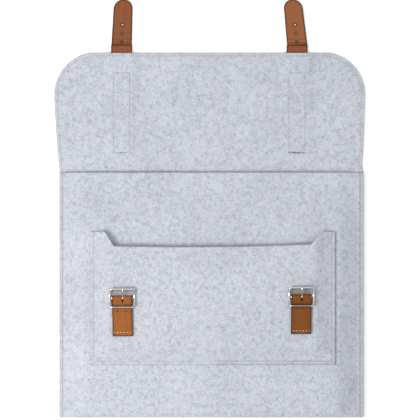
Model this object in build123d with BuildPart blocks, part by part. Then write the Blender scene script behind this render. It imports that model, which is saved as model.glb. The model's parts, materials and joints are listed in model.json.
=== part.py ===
from build123d import *
import os
from math import radians, tan

# Felt laptop sleeve with a fold-over flap, a sewn-on front pocket and two
# leather strap-and-buckle fastenings. Millimetres. The sleeve lies on its back
# with the flap open: +X across it, +Y from the sleeve to the flap, +Z up from
# the surface it lies on. The origin is the middle of the back panel's outer face.

os.makedirs("parts", exist_ok=True)

# --- Driving dimensions -------------------------------------------------------

felt = 3.0  # thickness of the wool felt
seam = 5.0  # width of the flat sewn border along each side seam
thread = 0.9  # width of a sewn thread run
thread_height = 0.5  # how far a thread run stands off its sheet
stitch_inset = 3.8  # a stitch line's distance in from a cut edge
seam_stitch_inset = 3.2  # the same for the side seams
stitch_end = 2.0  # a stitch line stops this far from an open edge

gap = 0.3  # between pieces that move apart

# Sleeve
body_width = 376.0
body_length = 303.0
laptop_room = 12.0  # clear height inside, for a thin 15 inch laptop
panel_round = 5.0  # rounding where the front panel turns down to its seams

# Flap
flap_length = 148.0  # from the sleeve's mouth to the flap's edge
flap_offset = -2.2  # the flap sits this much to one side
flap_fold_width = 374.0
flap_width = 384.4
flap_flare_end = 88.0  # the flap is at its full width from here, from the mouth
flap_corner = 52.0
flap_flare_round = 120.0  # rounding where its sides stop widening
fold_reach = 14.5  # from the mouth to the line that the flap turns on

# Front pocket
pocket_width = 302.5
pocket_offset = 1.5
pocket_bottom = -85.5
pocket_ear_top = 78.5
pocket_mouth = 60.5
ear_width = 18.0
ear_slant = 11.0
pocket_room = 8.5  # clear height inside, for a phone
pocket_round = 3.5

# Straps, from the flap out to their tips
leather = 1.8
strap_width = 25.0
strap_tip_width = 23.5
strap_spacing = 217.0  # between the two straps' centre lines on the flap
strap_offset = -2.6  # the pair of straps sits this much to one side
strap_root = 22.5  # where a strap starts, from the mouth
strap_free = 66.0  # length past the flap's edge
strap_lean = {"left": 2.4, "right": -6.0}  # degrees, how each free end lies
backing = 1.2  # thickness of the leather layer between felt and strap
backing_length = 45.0
backing_free = 10.0  # how far that layer and the sewn strap pass the edge
hole_radius = 1.4
hole_distances = (13.5, 24.1, 34.6)  # from the flap's edge
strap_stitch_width = 19.0
strap_stitch_far = 25.0  # the stitched box's far end, from the flap's edge
strap_stitch_near = 25.0  # its near end, from the mouth

# Tabs and buckles on the pocket
# The right fastening is sewn on a little higher than the left one.
tab_x = {"left": -110.2, "right": 110.9}
bar_places = {"left": -3.6, "right": -1.9}  # where each buckle's centre bar lies
tab_ends = {"left": -50.5, "right": -47.7}
tab_width = 25.0
tab_fold = 10.0  # from the bar to where the tab's two layers lie together
tab_fold_point = 2.0  # the fold's hollow ends this far before that
tab_upper_row = 16.1  # from the bar to the stitched row nearer to it
tab_lower_row = 3.8  # from the tab's end to the other stitched row
tab_row = 19.0  # length of each stitched row across a tab
bar_radius = 1.15
bar_clearance = 0.07
buckle_width = 33.0
buckle_length = 25.0
buckle_stock = 2.3
buckle_bow = 1.1  # how far the sides bow out
buckle_rise = 3.4  # how far the end bars stand above the centre bar
buckle_chamfer = 0.45
tongue_shift = 0.8
tongue_width = 2.4
tongue_thickness = 1.8
tongue_ring_radius = 2.3
tongue_slot = 5.0
prong_root = (0.6, 0.5)  # the prong starts this far past the bar and inside the ring's top
prong_flat = 1.0  # it is level from this far before the top end bar
prong_over = 0.9  # it passes that bar by this much
prong_droop = 0.3
prong_round = 0.4

# --- Places worked out from them ----------------------------------------------

mouth = body_length / 2
bottom = -body_length / 2
wall = body_width / 2 - seam  # outer face of the front panel's side walls
panel_top = felt + laptop_room + felt
fold_centre = bottom + panel_top / 2  # centre of the round fold at the bottom
fold_line = mouth + fold_reach
flap_edge = mouth + flap_length
flap_under = leather + backing  # the flap's felt lies on the straps
flap_top = flap_under + felt
strap_start = mouth + strap_root
bend_line = flap_edge + backing_free + gap + leather / 2
strap_x = {side: strap_offset + k * strap_spacing / 2 for side, k in (("left", -1), ("right", 1))}
pocket_top = panel_top + pocket_room + felt
bar_z = pocket_top + leather + bar_radius + bar_clearance
end_bar_z = bar_z + buckle_rise
sides = ("left", "right")


def write(part, name):
    part.label = name
    export_step(part, f"parts/{name}.step")


# --- Sleeve body --------------------------------------------------------------

# The back panel runs on past the mouth to the line that the flap folds on.
with BuildPart() as back_panel:
    with BuildSketch():
        with Locations((0, (fold_centre + mouth) / 2)):
            Rectangle(body_width, mouth - fold_centre)
        with Locations((flap_offset / 2, (mouth + fold_line) / 2)):
            Rectangle(flap_fold_width, fold_line - mouth)
    extrude(amount=felt)
write(back_panel.part, "back_panel")


# The front panel with its side walls, flat sewn borders and round bottom fold.
with BuildPart() as front_panel:
    with BuildSketch(Plane.YZ):
        with BuildLine():
            Polyline((fold_centre, felt), (mouth, felt), (mouth, panel_top), (fold_centre, panel_top))
            ThreePointArc((fold_centre, panel_top), (bottom, panel_top / 2), (fold_centre, 0))
            Line((fold_centre, 0), (fold_centre, felt))
        make_face()
    extrude(amount=wall, both=True)
    with BuildSketch(Plane.XZ.offset(-mouth)) as across:
        with Locations((0, panel_top / 2)):
            Rectangle(2 * wall, panel_top)
        fillet(across.vertices().group_by(Axis.Y)[-1], panel_round)
    extrude(amount=body_length, mode=Mode.INTERSECT)
    with BuildSketch(Plane.YZ):
        with BuildLine():
            Polyline(
                (fold_centre, felt),
                (mouth, felt),
                (mouth, felt + laptop_room),
                (fold_centre, felt + laptop_room),
            )
            ThreePointArc(
                (fold_centre, felt + laptop_room), (bottom + felt, panel_top / 2), (fold_centre, felt)
            )
        make_face()
    extrude(amount=wall - felt, both=True, mode=Mode.SUBTRACT)
    for side in (-1, 1):
        with BuildSketch(Plane.XY.offset(felt)):
            with Locations((side * (wall + seam / 2), 0)):
                Rectangle(seam, body_length)
        extrude(amount=felt)
        with BuildSketch(Plane.XY):
            with Locations((side * (wall + seam / 2), (bottom + fold_centre) / 2)):
                Rectangle(seam, fold_centre - bottom)
        extrude(amount=felt)
write(front_panel.part, "front_panel")


# --- Front pocket -------------------------------------------------------------


pocket_plane = Plane((pocket_offset, 0, panel_top))


def pocket_outline(inset):
    """The pocket's outline with its raised ears, set in on the three sewn sides."""
    half = pocket_width / 2 - inset
    ear_in = pocket_width / 2 - ear_width
    low = pocket_bottom + inset
    with BuildLine() as line:
        Polyline(
            (-half, low),
            (half, low),
            (half, pocket_ear_top),
            (ear_in, pocket_ear_top),
            (ear_in - ear_slant, pocket_mouth),
            (ear_slant - ear_in, pocket_mouth),
            (-ear_in, pocket_ear_top),
            (-half, pocket_ear_top),
            close=True,
        )
    return line.line


# A flat sewn border on three sides, and inside it the raised pocket.
with BuildPart() as front_pocket:
    with BuildSketch(pocket_plane):
        make_face(pocket_outline(0))
    extrude(amount=felt)
    with BuildSketch(pocket_plane):
        make_face(pocket_outline(seam))
    extrude(amount=pocket_room + felt)
    rims = front_pocket.faces().sort_by(Axis.Z)[-1].edges()
    sewn_rims = rims.filter_by(Axis.Y) + rims.group_by(Axis.Y)[0]
    fillet(sewn_rims, pocket_round)
    with BuildSketch(pocket_plane):
        cavity_low = pocket_bottom + seam + felt
        with Locations((0, (cavity_low + pocket_ear_top) / 2)):
            Rectangle(pocket_width - 2 * (seam + felt), pocket_ear_top - cavity_low)
    extrude(amount=pocket_room, mode=Mode.SUBTRACT)
write(front_pocket.part, "front_pocket")


# --- Flap ---------------------------------------------------------------------


def flap_outline(inset):
    """Half of the flap's edge, from the fold line round one corner to the middle of its edge."""
    edge = flap_edge - inset
    half = flap_width / 2 - inset
    with BuildLine() as line:
        FilletPolyline(
            (flap_offset + flap_fold_width / 2 - inset, fold_line + gap),
            (flap_offset + half, mouth + flap_flare_end),
            (flap_offset + half, edge),
            (flap_offset, edge),
            radius=(flap_flare_round, flap_corner - inset),
        )
        mirror(about=Plane.YZ.offset(flap_offset))
    return line


# Flat felt that lies on the straps, with a ramp down to the back panel's level.
with BuildPart() as flap_panel:
    with BuildSketch():
        with BuildLine():
            add(flap_outline(0).line)
            near = fold_line + gap
            Line(
                (flap_offset - flap_fold_width / 2, near),
                (flap_offset + flap_fold_width / 2, near),
            )
        make_face()
    extrude(amount=flap_top)
    with BuildSketch(Plane.YZ):
        with BuildLine():
            Polyline(
                (near, 0),
                (strap_start - 1, flap_under),
                (flap_edge + 1, flap_under),
                (flap_edge + 1, flap_top),
                (strap_start - 1, flap_top),
                (near, felt),
                close=True,
            )
        make_face()
    extrude(amount=flap_width, both=True, mode=Mode.INTERSECT)
write(flap_panel.part, "flap_panel")


# --- Straps -------------------------------------------------------------------

# Each strap is sewn under the flap with a second leather layer at its edge.
for side in sides:
    with BuildPart() as strap:
        with BuildSketch():
            with Locations((strap_x[side], (strap_start + flap_edge + backing_free) / 2)):
                Rectangle(strap_width, flap_edge + backing_free - strap_start)
        extrude(amount=leather)
    write(strap.part, f"strap_{side}")

    with BuildPart() as strap_backing:
        with BuildSketch(Plane.XY.offset(leather)):
            with Locations((strap_x[side], flap_edge + backing_free - backing_length / 2)):
                Rectangle(strap_width, backing_length)
        extrude(amount=backing)
    write(strap_backing.part, f"strap_backing_{side}")


def lean_x(side, y):
    """The free end's centre line, which leans to one side."""
    return strap_x[side] + tan(radians(strap_lean[side])) * (y - bend_line)


# The free end turns on a round nose, so that it can bend where the sewn part ends.
for side in sides:
    tip = flap_edge + strap_free
    shoulder = tip - strap_tip_width / 2
    base_half = strap_width / 2
    tip_half = strap_tip_width / 2
    with BuildPart() as strap_end:
        with BuildSketch(Plane.YZ.offset(strap_x[side] - base_half)):
            with Locations((bend_line, leather / 2)):
                Circle(leather / 2)
        extrude(amount=strap_width)
        with BuildSketch():
            with BuildLine():
                Line((strap_x[side] - base_half, bend_line), (strap_x[side] + base_half, bend_line))
                Line((strap_x[side] + base_half, bend_line), (lean_x(side, shoulder) + tip_half, shoulder))
                ThreePointArc(
                    (lean_x(side, shoulder) + tip_half, shoulder),
                    (lean_x(side, tip), tip),
                    (lean_x(side, shoulder) - tip_half, shoulder),
                )
                Line((lean_x(side, shoulder) - tip_half, shoulder), (strap_x[side] - base_half, bend_line))
            make_face()
            with Locations([(lean_x(side, flap_edge + d), flap_edge + d) for d in hole_distances]):
                Circle(hole_radius, mode=Mode.SUBTRACT)
        extrude(amount=leather)
    write(strap_end.part, f"strap_end_{side}")


# --- Tabs ---------------------------------------------------------------------

# A leather strip folded round the buckle's centre bar, with a slot for the tongue.
loop_inner = bar_radius + bar_clearance
loop_outer = loop_inner + leather
tab_top = pocket_top + 2 * leather
for side in sides:
    bar_y, tab_end = bar_places[side], tab_ends[side]
    tab_joined = bar_y - tab_fold
    hollow_end = tab_joined + tab_fold_point
    with BuildPart() as tab:
        with BuildSketch(Plane.YZ.offset(tab_x[side])):
            with BuildLine():
                Polyline((tab_end, tab_top), (tab_end, pocket_top), (bar_y, pocket_top))
                ThreePointArc(
                    (bar_y, pocket_top), (bar_y + loop_outer, bar_z), (bar_y, bar_z + loop_outer)
                )
                Polyline((bar_y, bar_z + loop_outer), (tab_joined, tab_top), (tab_end, tab_top))
            make_face()
            with BuildLine():
                Line((hollow_end, pocket_top + leather), (bar_y, bar_z - loop_inner))
                ThreePointArc(
                    (bar_y, bar_z - loop_inner), (bar_y + loop_inner, bar_z), (bar_y, bar_z + loop_inner)
                )
                Line((bar_y, bar_z + loop_inner), (hollow_end, pocket_top + leather))
            make_face(mode=Mode.SUBTRACT)
        extrude(amount=tab_width / 2, both=True)
        with BuildSketch(Plane.XY.offset(pocket_top)):
            with Locations((tab_x[side] + tongue_shift, bar_y)):
                Rectangle(tongue_slot, 4 * loop_outer)
        extrude(amount=2 * loop_outer, mode=Mode.SUBTRACT)
    write(tab.part, f"tab_{side}")


# --- Buckles ------------------------------------------------------------------

# The frame is arched, so that its end bars stand clear of the tab and the felt.
half_x = buckle_width / 2
half_y = buckle_length / 2
stock = buckle_stock / 2


def arch(bar_y, y_reach, shift):
    """The side view of the frame's arch over its bar, at a height of shift above its centre."""
    return ThreePointArc(
        (bar_y - y_reach, end_bar_z + shift), (bar_y, bar_z + shift), (bar_y + y_reach, end_bar_z + shift)
    )


for side in sides:
    bar_y = bar_places[side]
    with BuildPart() as buckle_frame:
        with BuildSketch(Plane.YZ.offset(tab_x[side])):
            with BuildLine():
                upper = arch(bar_y, half_y, stock)
                lower = arch(bar_y, half_y, -stock)
                Line(upper @ 0, lower @ 0)
                Line(upper @ 1, lower @ 1)
            make_face()
        extrude(amount=half_x, both=True)
        with BuildSketch(Plane((tab_x[side], bar_y, pocket_top))) as ring:
            with BuildLine():
                square_x = half_x - buckle_bow
                right = ThreePointArc((square_x, -half_y), (half_x, 0), (square_x, half_y))
                left = ThreePointArc((-square_x, -half_y), (-half_x, 0), (-square_x, half_y))
                Line(right @ 0, left @ 0)
                Line(right @ 1, left @ 1)
            make_face()
            fillet(ring.vertices(), buckle_stock)
            offset(amount=-buckle_stock, mode=Mode.SUBTRACT)
        extrude(amount=buckle_length, mode=Mode.INTERSECT)
        long_edges = buckle_frame.edges().filter_by(lambda edge: edge.length > buckle_width / 4)
        chamfer(long_edges, buckle_chamfer)
        with BuildSketch(Plane.YZ.offset(tab_x[side])):
            with Locations((bar_y, bar_z)):
                Circle(bar_radius)
        extrude(amount=half_x - stock, both=True)
    write(buckle_frame.part, f"buckle_frame_{side}")

# Each tongue is a ring on the centre bar with a flat prong over the top end bar.
prong_low = end_bar_z + stock + gap + tongue_thickness / 2
for side in sides:
    bar_y = bar_places[side]
    with BuildPart() as buckle_tongue:
        with BuildSketch(Plane.YZ.offset(tab_x[side] + tongue_shift)):
            with Locations((bar_y, bar_z)):
                Circle(tongue_ring_radius)
            with BuildLine() as prong:
                Polyline(
                    (bar_y + prong_root[0], bar_z + tongue_ring_radius - prong_root[1]),
                    (bar_y + half_y - buckle_stock - prong_flat, prong_low),
                    (bar_y + half_y + prong_over, prong_low - prong_droop),
                )
            trace(line_width=tongue_thickness)
            with Locations((bar_y, bar_z)):
                Circle(loop_inner, mode=Mode.SUBTRACT)
        extrude(amount=tongue_width / 2, both=True)
        fillet(buckle_tongue.edges().group_by(Axis.Y)[-1], prong_round)
    write(buckle_tongue.part, f"buckle_tongue_{side}")


# --- Sewn threads -------------------------------------------------------------


def thread_run(lines, height, name):
    """One thin flat thread run along each line, standing on a sheet at that height."""
    with BuildPart() as run:
        with BuildSketch(Plane.XY.offset(height)):
            for line in lines:
                trace(line, line_width=thread)
        extrude(amount=thread_height)
    write(run.part, name)


for side, k in (("left", -1), ("right", 1)):
    seam_x = k * (body_width / 2 - seam_stitch_inset)
    with BuildLine() as seam_line:
        Line((seam_x, bottom + stitch_inset), (seam_x, mouth - stitch_end))
    thread_run([seam_line.line], 2 * felt, f"side_seam_thread_{side}")

    x = tab_x[side]
    with BuildLine() as end_row:
        end_y = tab_ends[side] + tab_lower_row
        Line((x - tab_row / 2, end_y), (x + tab_row / 2, end_y))
    with BuildLine() as upper_row:
        upper_y = bar_places[side] - tab_upper_row
        Line((x - tab_row / 2, upper_y), (x + tab_row / 2, upper_y))
    thread_run([end_row.line, upper_row.line], tab_top, f"tab_thread_{side}")

    x = strap_x[side]
    half = strap_stitch_width / 2
    near_y = mouth + strap_stitch_near
    far_y = flap_edge - strap_stitch_far
    with BuildLine() as box:
        Polyline((x - half, near_y), (x - half, far_y), (x + half, far_y), (x + half, near_y), close=True)
    thread_run([box.line], flap_top, f"strap_thread_{side}")

with BuildLine() as edge_line:
    add(flap_outline(stitch_inset).line)
thread_run([edge_line.line], flap_top, "flap_edge_thread")

half = pocket_width / 2 - stitch_inset
low = pocket_bottom + stitch_inset
with BuildLine() as pocket_line:
    Polyline(
        (pocket_offset - half, pocket_ear_top - stitch_end),
        (pocket_offset - half, low),
        (pocket_offset + half, low),
        (pocket_offset + half, pocket_ear_top - stitch_end),
    )
thread_run([pocket_line.line], panel_top + felt, "pocket_thread")
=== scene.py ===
import json
import math

import bmesh
import bpy
import numpy as np
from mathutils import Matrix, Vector


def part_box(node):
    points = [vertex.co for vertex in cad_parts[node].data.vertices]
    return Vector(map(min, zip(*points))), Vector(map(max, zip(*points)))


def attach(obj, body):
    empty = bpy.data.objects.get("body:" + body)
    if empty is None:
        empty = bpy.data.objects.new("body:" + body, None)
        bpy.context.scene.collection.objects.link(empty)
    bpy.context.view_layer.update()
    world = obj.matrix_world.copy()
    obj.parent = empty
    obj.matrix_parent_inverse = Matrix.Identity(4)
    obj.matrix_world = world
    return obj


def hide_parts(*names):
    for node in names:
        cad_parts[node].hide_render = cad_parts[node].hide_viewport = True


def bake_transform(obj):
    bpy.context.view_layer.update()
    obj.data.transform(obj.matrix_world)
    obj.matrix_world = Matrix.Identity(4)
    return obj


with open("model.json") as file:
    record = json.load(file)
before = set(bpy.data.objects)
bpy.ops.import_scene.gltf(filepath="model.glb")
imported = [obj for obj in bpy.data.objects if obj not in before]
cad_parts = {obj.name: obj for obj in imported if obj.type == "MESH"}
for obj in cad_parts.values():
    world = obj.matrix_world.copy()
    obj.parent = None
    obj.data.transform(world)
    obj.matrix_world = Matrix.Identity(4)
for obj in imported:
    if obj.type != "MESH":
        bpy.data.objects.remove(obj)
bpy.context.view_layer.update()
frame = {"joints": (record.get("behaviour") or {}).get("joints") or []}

bl_info = {
    "name": "Felt Laptop Sleeve",
    "version": (1, 0, 0),
    "blender": (4, 5, 0),
    "location": "View3D > Sidebar > Sleeve",
    "description": "Builds a wool felt laptop sleeve with leather straps and buckles around its CAD frame",
    "category": "Add Mesh",
}

MM = 0.001
SIDES = ("left", "right")
HOLE_DISTANCES = (13.5 * MM, 24.1 * MM, 34.6 * MM)  # of a strap's holes, from the flap's edge
HOLE_WEAR = (0.7, 0.85, 1.15)  # how far use has opened each hole

# What sewing and wear have done to each side, and how the painted shade, shadow and reflection differ between
# the sides.
RUBBED = {"left": 0.42, "right": 0.58}  # how dark the painted shadow of a buckle is on the felt behind it
FADE = {"left": 0.1, "right": 0.5}  # how far a strap's inner side has faded
TONE = {"left": 0.05, "right": 0.9}  # how much painted shade darkens a whole tab
DULL = {"left": 0.55, "right": 0.85}  # how much painted shade and painted reflection of the brown leather darken a buckle's lower rail
TAB_SKEW = {"left": 0.9 * MM, "right": -0.5 * MM}  # how far a tab's foot lies to one side
BACKING_SLANT = {"left": -0.25 * MM, "right": 0.5 * MM}
BODY_SEAM = {"left": 0.6, "right": 1.0}  # how deep a seam is pressed in and how much painted shade darkens it
POCKET_SEAM = {"left": 0.15, "right": 0.7}
FLAP_SEAM = 0.18
TAB_ROW = {"left": 1.3 * MM, "right": 0.5 * MM}  # how far a tab's rows of stitches lie off their places
UPPER_ROW = {"left": -0.5 * MM, "right": 1.2 * MM}
TACKS = {  # in millimetres: start and end across, and place along
    "left": [(-4.6, 5.4, 0.2)],
    "right": [(-10.4, 8.0, 0.2), (-4.6, 3.2, -0.7)],
}
TACK_RADIUS = {"left": 0.35 * MM, "right": 0.55 * MM}
STITCH_LIFT = 0.1 * MM  # how far a stitch's middle lies above the felt that it is pressed into

# The pocket's upper edge, and the rows that its mesh is made of.
POCKET_MOUTH = 60.5 * MM  # where the mouth lies along the sleeve, at its left end
MOUTH_TILT = 2.3 * MM  # how much higher its right end is
MOUTH_DIP = 2.1 * MM  # how far its middle sags
EAR = 18 * MM  # width of an ear's flat top
EAR_FOOT = 29 * MM  # width of an ear with its slant
POCKET_RUN = 146 * MM  # the length that the rows are spaced for
POCKET_FOOT = 28 * MM  # the rows are close together up to here

# Places read from the frame, in metres.
BACK_LOW, BACK_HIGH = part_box("back_panel")
FRONT_LOW, FRONT_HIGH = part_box("front_panel")
POCKET_LOW, POCKET_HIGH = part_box("front_pocket")
FLAP_LOW, FLAP_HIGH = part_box("flap_panel")
MOUTH = FRONT_HIGH.y
BOTTOM = FRONT_LOW.y
FLAP_EDGE = FLAP_HIGH.y
FLAP_MIDDLE = (FLAP_LOW.x + FLAP_HIGH.x) / 2
FLAP_HALF = (FLAP_HIGH.x - FLAP_LOW.x) / 2
FOLD_LINE = BACK_HIGH.y
POCKET_MIDDLE = (POCKET_LOW.x + POCKET_HIGH.x) / 2
POCKET_HALF = (POCKET_HIGH.x - POCKET_LOW.x) / 2


def settings():
    return bpy.context.scene.felt_sleeve


def joint_place(name):
    """Where a joint's axis lies at rest."""
    return Vector(next(j["pos_m"] for j in frame["joints"] if j["name"] == name))


# --- Settings -----------------------------------------------------------------


def number(name, description, default, **more):
    return bpy.props.FloatProperty(name=name, description=description, default=default, **more)


def length(name, description, default):
    return number(name, description, default, min=0.0, precision=5, unit="LENGTH")


def colour(name, description, default):
    return bpy.props.FloatVectorProperty(
        name=name, description=description, default=default, size=3, min=0.0, max=1.0, subtype="COLOR"
    )


class SleeveFelt(bpy.types.PropertyGroup):
    thickness: length("Thickness", "Thickness of the wool felt", 3 * MM)
    cut_round: length("Cut Edge Round", "How far a cut edge bulges", 0.8 * MM)
    cell: length("Cell", "Size of the felt mesh's cells", 4 * MM)
    border: length("Sewn Border", "Flat border outside each side wall", 4.2 * MM)
    wall: length("Wall Width", "How wide a side wall is, seen from above", 30 * MM)
    pocket_wall: length("Pocket Wall Width", "How wide the pocket's side walls are, seen from above", 22 * MM)
    mouth_sag: length("Mouth Sag", "How far the front panel sinks at its mouth", 8.5 * MM)
    sag_length: length("Sag Length", "How far from its mouth the front panel starts to sink", 80 * MM)
    flap_corner: length("Flap Corner", "Radius of the flap's corners", 52 * MM)
    fold_width: length("Fold Width", "Width of the felt where the flap folds", 374 * MM)
    flare: length("Flare", "Distance from the mouth to where the flap is widest", 95 * MM)
    light: colour("Light Wool", "Colour of the pale fibres", (0.67, 0.69, 0.75))
    dark: colour("Dark Wool", "Colour of the grey fibres", (0.27, 0.285, 0.325))
    # Colour of the painted shadow that a buckle's frame casts on the felt behind it.
    rubbed: colour("Rubbed Wool", "Colour that leather and metal rub off on the felt", (0.11, 0.09, 0.07))


class SleeveLeather(bpy.types.PropertyGroup):
    thickness: length("Thickness", "Thickness of the straps and tabs", 1.8 * MM)
    tip_width: length("Tip Width", "Width of a strap just before its round tip", 23.5 * MM)
    hole_radius: length("Hole Radius", "Radius of the strap's holes", 1.2 * MM)
    lean_left: number("Left Lean", "How far the left strap leans", math.radians(2.4), subtype="ANGLE")
    lean_right: number("Right Lean", "How far the right strap leans", math.radians(-6.0), subtype="ANGLE")
    grain: colour("Grain Side", "Colour of the smooth outer side", (0.44, 0.137, 0.024))
    flesh: colour("Inner Side", "Colour of the matt inner side", (0.275, 0.090, 0.034))
    faded: colour("Faded", "Colour of an inner side that light has faded", (0.385, 0.142, 0.0585))
    # Colour of the grain side in painted shade, for a tab drawn darker.
    deep: colour("Deep Tone", "Colour of a darker cut of the grain side", (0.205, 0.058, 0.004))
    burnish: colour("Burnished Edge", "Colour of the rubbed cut edges", (0.055, 0.026, 0.015))


class SleeveHardware(bpy.types.PropertyGroup):
    stock: length("Stock", "Thickness of the buckle frame's rails", 2.7 * MM)
    bow: length("Bow", "How far the frame's sides bow outwards", 1.1 * MM)
    corner: length("Corner", "Radius of the frame's corners", 1.7 * MM)
    bar: length("Bar Radius", "Radius of the centre bar", 1.15 * MM)
    nickel: colour("Nickel", "Colour of the plated metal", (0.74, 0.72, 0.69))
    # Colour of the painted shade and painted brown reflection of the leather on a buckle's rails.
    dull: colour("Dull Nickel", "Colour where leather has rubbed and dulled the plate", (0.21, 0.16, 0.11))


class SleeveStitches(bpy.types.PropertyGroup):
    pitch: length("Pitch", "Distance from one stitch to the next", 4.2 * MM)
    length: length("Stitch Length", "Length of one stitch", 3.3 * MM)
    radius: length("Thread Radius", "Radius of the sewing thread", 0.33 * MM)
    inset: length("Inset", "Distance of a seam from its cut edge", 3.8 * MM)
    felt_thread: colour("Felt Thread", "Colour of the thread on the felt", (0.49, 0.49, 0.53))
    tab_thread: colour("Tab Thread", "Colour of the waxed thread on the tabs", (0.88, 0.76, 0.62))
    # Near-black thread; on the rows by the buckles its dark colour is partly painted shadow of the lower
    # rail.
    dark_thread: colour("Dark Thread", "Colour of tacks and of rows by the buckles", (0.035, 0.028, 0.028))


class SleeveStage(bpy.types.PropertyGroup):
    camera_height: length("Camera Height", "Height of the camera above the floor", 9.0)
    view_width: length("View Width", "Width of floor that the camera sees", 519.5 * MM)
    view_x: number("View X", "Middle of the view across", -1.8 * MM, unit="LENGTH")
    view_y: number("View Y", "Middle of the view along", 105.1 * MM, unit="LENGTH")
    key_power: number("Key Power", "Power of the large soft lamp", 13.5, subtype="POWER")
    fill_power: number("Fill Power", "Power of the lamp overhead", 5.0, subtype="POWER")
    sky: number("Sky", "Strength of the even light", 0.74)
    floor: colour("Floor", "Colour of the floor", (0.93, 0.93, 0.93))


class FeltSleeve(bpy.types.PropertyGroup):
    felt: bpy.props.PointerProperty(type=SleeveFelt)
    leather: bpy.props.PointerProperty(type=SleeveLeather)
    hardware: bpy.props.PointerProperty(type=SleeveHardware)
    stitches: bpy.props.PointerProperty(type=SleeveStitches)
    stage: bpy.props.PointerProperty(type=SleeveStage)


# --- Node building ------------------------------------------------------------


def add_node(tree, kind, options=None, sockets=None):
    """Adds a node: its options first, then the value or link of each named or numbered socket."""
    node = tree.nodes.new(kind)
    for key, value in (options or {}).items():
        setattr(node, key, value)
    for key, value in (sockets or {}).items():
        if isinstance(value, Wire):
            value = value.socket
        if isinstance(value, bpy.types.NodeSocket):
            tree.links.new(value, node.inputs[key])
        else:
            node.inputs[key].default_value = value
    return node


class Wire:
    """One output of a shader node, with arithmetic that adds Math nodes."""

    def __init__(self, socket):
        self.socket = socket

    @property
    def tree(self):
        return self.socket.id_data

    def node(self, kind, options=None, sockets=None, output=0):
        return Wire(add_node(self.tree, kind, options, sockets).outputs[output])

    def maths(self, operation, *values):
        return self.node("ShaderNodeMath", {"operation": operation}, dict(enumerate(values)))

    def __add__(self, other):
        return self.maths("ADD", self, other)

    def __sub__(self, other):
        return self.maths("SUBTRACT", self, other)

    def __rsub__(self, other):
        return self.maths("SUBTRACT", other, self)

    def __mul__(self, other):
        return self.maths("MULTIPLY", self, other)

    def __abs__(self):
        return self.maths("ABSOLUTE", self)

    __radd__ = __add__
    __rmul__ = __mul__

    def at_least(self, other):
        return self.maths("MAXIMUM", self, other)

    def ease(self, low, high):
        """0 up to low, 1 from high on, and smooth between them; falling where low is above high."""
        start, end, first, last = (low, high, 0.0, 1.0) if low < high else (high, low, 1.0, 0.0)
        sockets = {0: self, 1: start, 2: end, 3: first, 4: last}
        return self.node("ShaderNodeMapRange", {"interpolation_type": "SMOOTHSTEP"}, sockets)


class Finish:
    """A procedural material under construction: a Principled shader and the wires that lead to it."""

    def __init__(self, name, **constants):
        self.material = bpy.data.materials.new(name)
        self.material.use_nodes = True
        self.tree = self.material.node_tree
        self.shader = self.tree.nodes["Principled BSDF"]
        for key, value in constants.items():
            self.shader.inputs[key.replace("_", " ")].default_value = value

    def node(self, kind, options=None, sockets=None, output=0):
        return Wire(add_node(self.tree, kind, options, sockets).outputs[output])

    def attribute(self, name, output="Fac"):
        return self.node("ShaderNodeAttribute", {"attribute_name": name}, output=output)

    def stretch(self, vector, scale, turn=0.0):
        """Places moved into a pattern's own space: scaled by axis, and turned about Z."""
        sockets = {"Vector": vector, "Angle": turn}
        turned = self.node("ShaderNodeVectorRotate", {"rotation_type": "Z_AXIS"}, sockets)
        return self.node("ShaderNodeVectorMath", {"operation": "MULTIPLY"}, {0: turned, 1: scale})

    def noise(self, vector, scale, detail=3.0, roughness=0.6, distortion=0.0):
        sockets = {"Vector": vector, "Scale": scale, "Detail": detail}
        sockets |= {"Roughness": roughness, "Distortion": distortion}
        return self.node("ShaderNodeTexNoise", sockets=sockets)

    def mix(self, amount, first, second):
        """A colour between first and second; each is a wire or three numbers."""
        ends = [end if isinstance(end, Wire) else (*end, 1.0) for end in (first, second)]
        sockets = {0: amount, 6: ends[0], 7: ends[1]}
        return self.node("ShaderNodeMix", {"data_type": "RGBA"}, sockets, output=2)

    def link(self, socket, wire):
        self.tree.links.new(wire.socket, self.shader.inputs[socket])

    def bump(self, height, distance, strength):
        sockets = {"Height": height, "Distance": distance, "Strength": strength}
        return self.node("ShaderNodeBump", sockets=sockets)


# --- Finishes -----------------------------------------------------------------


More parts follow.
